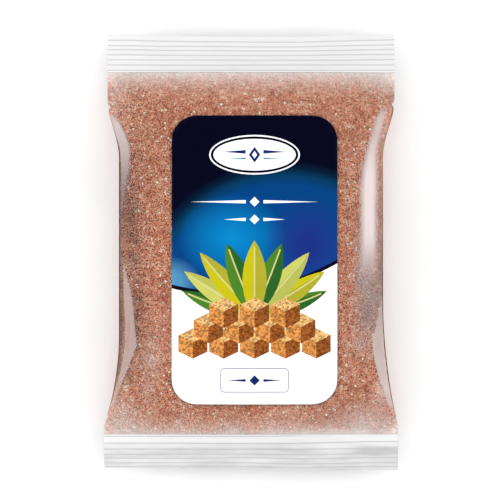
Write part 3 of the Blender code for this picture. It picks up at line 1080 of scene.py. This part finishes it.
def tapered_bars(ink, near, far, y, thick):
    """A rule on each side, full at the near end and running out to a point at the far one."""
    half = thick / 2
    return [(ink, [(side * near, y - half), (side * far, y), (side * near, y + half)]) for side in (-1, 1)]


def print_shapes():
    """(ink, outline) pairs from the bottom layer to the top one."""
    wide, tall = LABEL_WIDTH / MM / 2, LABEL_LENGTH / MM / 2
    xs = [-wide + 2 * wide * k / 30 for k in range(31)]
    shapes = [("blue", [(-wide, tall), (wide, tall)] + [(x, wave_line(x)) for x in reversed(xs)])]
    band = [(x, wave_line(x)) for x in xs] + [(x, wave_line(x) - 1.8) for x in reversed(xs)]
    shapes.append(("navy", band))

    # Plate with an ornament
    plate_y = 47.8
    shapes += [("white", circle(0, plate_y, 20.6, 9.0)), ("navy", circle(0, plate_y, 19.9, 8.3))]
    shapes += [("white", circle(0, plate_y, 18.7, 7.2)), ("royal", lozenge(0, plate_y, 2.6, 3.6))]
    shapes.append(("white", lozenge(0, plate_y, 1.2, 1.7)))
    shapes += tapered_bars("royal", 4.0, 14.5, plate_y + 1.3, 1.7)
    shapes += tapered_bars("teal", 4.0, 12.0, plate_y - 1.7, 0.9)

    # White rules with lozenges
    for y, reach in ((26.5, 29.0), (18.5, 14.0)):
        shapes += [("white", lozenge(0, y, 2.2, 2.2)), *tapered_bars("white", 4.0, reach, y, 1.5)]

    # Fan of leaves behind stacked cubes
    base = (0.0, -24.0)
    blades = (
        ("green", 8, 34, 8.0, 0.16), ("green", 172, 34, 8.0, -0.16), ("cane", 25, 37, 9.0, 0.10),
        ("pale", 155, 37, 9.0, -0.10), ("pale", 44, 37, 9.5, 0.07), ("cane", 136, 37, 9.5, -0.07),
        ("green", 66, 34, 10, 0.04), ("green", 114, 34, 10, -0.04), ("cane", 90, 33, 11, 0.0),
    )
    for ink, *blade in blades:
        outline, rib = leaf(base, *blade)
        half = len(outline) // 2
        shapes += [(ink, outline), (ink + "_shade", outline[half:] + [rib[-1], rib[0]]), ("rib", rib)]
    edge, lowest, pitch, rise = 7.6, -37.2, 1.84, 0.92
    for row, count in enumerate((5, 4, 3)):
        for k in range(count):
            faces = cube_faces((k - (count - 1) / 2) * edge * pitch, lowest + row * edge * rise, edge)
            shapes += zip(("cube_top", "cube_left", "cube_right"), faces)

    # Small framed ornament at the foot
    foot_y = -54.5
    outer, inner = (rounded_box(0, foot_y, 15.5, 5.6, 1.8, inset) for inset in (0.0, 0.35))
    shapes += [("steel", outer), ("white", inner), ("royal", lozenge(0, foot_y, 2.4, 2.4))]
    return shapes + tapered_bars("royal", 4.0, 12.5, foot_y, 1.3)


# What the label's inks other than white are multiplied by, so that they come out as printed here
INK_SHARE = 0.75
INKS = {
    "white": (250, 250, 250),
    "navy": (7, 7, 34),
    "royal": (16, 44, 116),
    "teal": (84, 168, 190),
    "steel": (120, 132, 160),
    "rib": (226, 226, 150),
    "cane": (216, 206, 24),
    "cane_shade": (190, 184, 52),
    "pale": (218, 220, 108),
    "pale_shade": (196, 202, 96),
    "green": (84, 140, 44),
    "green_shade": (46, 108, 42),
    "cube_top": (240, 190, 122),
    "cube_left": (222, 148, 78),
    "cube_right": (158, 88, 38),
}
# Darkest and lightest shares of an ink: in the drawn sugar, and elsewhere
CUBE_SPREAD = (0.55, 1.4)
INK_SPREAD = (0.93, 1.05)


def printed(made, node, colour):
    shader = node("BsdfPrincipled", Base_Color=colour, Roughness=0.42, Specular_IOR_Level=0.03)
    return surfaced(made, node, shader)


def ink_material(name):
    """One printed colour with a slight unevenness, and a grain for the drawn sugar."""
    made, node, where = new_material("ink_" + name)
    part = 1.0 if name == "white" else INK_SHARE
    if name.startswith("cube"):
        cells = node("TexVoronoi", Vector=where, Scale=1300.0)
        value, spread = node("SeparateColor", Color=cells.outputs["Color"]), CUBE_SPREAD
    else:
        value, spread = node("TexNoise", Vector=where, Scale=160.0, Detail=2.0), INK_SPREAD
    darker, lighter = (tuple(min(c, 1.0) for c in linear(*INKS[name], part * end)) for end in spread)
    return printed(made, node, ramp(node, value, ((0.15, darker), (0.85, lighter))))


def blue_field_material():
    """The label's blue field: near black at the top, with a rising glow and a violet tint on one side."""
    made, node, where = new_material("ink_blue_field")

    def glow(x, y, rx, ry):
        """1 at a point, falling to 0 over the given reaches."""
        middle = ((LABEL_X / MM + x) / rx, (LABEL_Y / MM + y) / ry)
        scale = (1 / (rx * MM), 1 / (ry * MM), 0.0)
        mapped = node("Mapping", Vector=where, Scale=scale, Location=(-middle[0], -middle[1], 0.0))
        ball = node("TexGradient", Vector=mapped)
        ball.gradient_type = "SPHERICAL"
        return ball.outputs["Fac"]

    def ink(*colour):
        return linear(*colour, INK_SHARE)

    colour = ramp(
        node,
        glow(14, -16, 74, 68),
        ((0.0, ink(0, 1, 28)), (0.10, ink(0, 2, 30)), (0.15, ink(0, 30, 58)), (0.20, ink(0, 62, 104)),
         (0.26, ink(0, 69, 138)), (0.45, ink(0, 70, 143)), (1.0, ink(0, 92, 168))),
    )
    for place, cover, above in (
        ((-10, 10, 25, 20), greys((0.0, 0.0), (0.4, 0.45), (1.0, 1.0)), ink(4, 148, 220)),
        ((24, 6, 20, 24), greys((0.0, 0.0), (0.3, 0.35), (0.8, 0.95)), ink(30, 50, 142)),
        ((-39, -10, 15, 12), greys((0.0, 0.0), (0.6, 0.75), (1.0, 0.9)), ink(98, 172, 214)),
    ):
        colour = mixed(node, ramp(node, glow(*place), cover), colour, above)
    return printed(made, node, colour)


def inside(outline, points):
    """Which of the points lie inside an outline."""
    x, y = points[:, 0], points[:, 1]
    found = np.zeros(len(points), bool)
    for (x1, y1), (x2, y2) in zip(outline, outline[1:] + outline[:1]):
        crosses = (y1 > y) != (y2 > y)
        if y1 != y2:
            found ^= crosses & (x < (x2 - x1) * (y - y1) / (y2 - y1) + x1)
    return found


def make_label():
    """The label: one sheet laid on the film, its face divided along the edges of the print."""
    wide, tall = LABEL_WIDTH / MM / 2, LABEL_LENGTH / MM / 2
    outline = rounded_box(0.0, 0.0, wide, tall, LABEL_CORNER_RADIUS / MM, count=10)
    shapes = print_shapes()
    points, edges = [], []
    for loop in (outline, *(loop for _, loop in shapes)):
        start = len(points)
        points += loop
        edges += [(start + k, start + (k + 1) % len(loop)) for k in range(len(loop))]
    columns, rows = (range(-int(half / LABEL_PITCH), int(half / LABEL_PITCH) + 1) for half in (wide, tall))
    for line in (
        *(((k * LABEL_PITCH, -tall), (k * LABEL_PITCH, tall)) for k in columns),
        *(((-wide, k * LABEL_PITCH), (wide, k * LABEL_PITCH)) for k in rows),
    ):
        edges.append((len(points), len(points) + 1))
        points += line
    flat, _, faces, _, _, _ = delaunay_2d_cdt([Vector(point) for point in points], edges, [], 0, 1e-5)
    flat, faces = np.array([tuple(point) for point in flat]), np.array(faces)
    corners = flat[faces]
    middles = corners.mean(1)
    area = np.cross(corners[:, 1] - corners[:, 0], corners[:, 2] - corners[:, 0])
    keep = inside(outline, middles) & (np.abs(area) > 1e-7)
    faces, middles = faces[keep], middles[keep]
    names = list(INKS) + ["blue"]
    ink = np.full(len(faces), names.index("white"))
    for name, loop in shapes:
        ink[inside(loop, middles)] = names.index(name)
    used, faces = np.unique(faces, return_inverse=True)
    x, y = flat[used, 0] * MM + LABEL_X, flat[used, 1] * MM + LABEL_Y
    z = front_height(share_across(x, y), y) + LABEL_TOP
    materials = [ink_material(name) for name in INKS] + [blue_field_material()]
    made = mesh_object("printed_label", np.stack([x, y, z], -1), faces.reshape(-1, 3), materials)
    made.data.polygons.foreach_set("material_index", ink)
    sheet = made.modifiers.new("sheet", "SOLIDIFY")
    sheet.thickness = LABEL_SHEET
    sheet.offset = -1.0
    sheet.use_even_offset = False
    return placed(made, "label")


def area_light(name, place, target, size, power):
    data = bpy.data.lights.new(name, "AREA")
    data.shape = "RECTANGLE"
    data.size, data.size_y = size
    data.energy = power
    lamp = bpy.data.objects.new(name, data)
    lamp.location = place
    lamp.rotation_mode = "QUATERNION"
    lamp.rotation_quaternion = (Vector(target) - Vector(place)).to_track_quat("-Z", "Y")
    bpy.context.scene.collection.objects.link(lamp)


def make_stage():
    """A pale floor, nearly even light all round, a large box on the right and a low strip on the left."""
    half, low = 3.0, -0.3 * MM
    corners = [(-half, -half, low), (half, -half, low), (half, half, low), (-half, half, low)]
    made, node, where = new_material("pale_floor")
    fleck = node("TexNoise", Vector=where, Scale=30.0, Detail=3.0)
    colour = ramp(node, fleck.outputs["Fac"], greys((0.3, 0.90), (0.7, 0.93)))
    surfaced(made, node, node("BsdfPrincipled", Base_Color=colour, Roughness=0.8))
    floor = mesh_object("floor", corners, [(0, 1, 2, 3)], [made])

    world = bpy.data.worlds.new("studio")
    bpy.context.scene.world = world
    world.use_nodes = True
    node = node_maker(world.node_tree)
    up = node("SeparateXYZ", _0=node("TexCoord").outputs["Generated"]).outputs["Z"]
    back = node("Background", Color=ramp(node, up, greys((0.0, 1.12), (1.0, 1.03))))
    node("OutputWorld", Surface=back)

    middle = (0.0, 0.0, 0.02)
    area_light("right_box", (0.80, 0.10, 0.52), middle, (1.10, 0.36), 2.6)
    area_light("left_strip", (-0.42, 0.02, 0.17), middle, (0.62, 0.13), 0.8)
    bpy.context.scene.view_settings.view_transform = "Standard"


def make_camera():
    """Straight above the pouch, at the photograph's framing."""
    pixel, side = 0.4647 * MM, 500
    middle_x, middle_y = 251.0, 252.25
    distance = 0.87
    data = bpy.data.cameras.new("camera")
    data.sensor_width = 36.0
    data.lens = data.sensor_width * distance / (side * pixel)
    data.clip_start = 0.01
    camera = bpy.data.objects.new("camera", data)
    camera.location = ((side / 2 - middle_x) * pixel, (middle_y - side / 2) * pixel, SEAL_HEIGHT + distance)
    bpy.context.scene.collection.objects.link(camera)
    bpy.context.scene.camera = camera


make_camera()
make_stage()
surface = film_surface()
make_film(surface)
for fin in FINS:
    make_fin(fin)
make_core()
make_crystals(surface)
make_label()

bpy.context.view_layer.update()
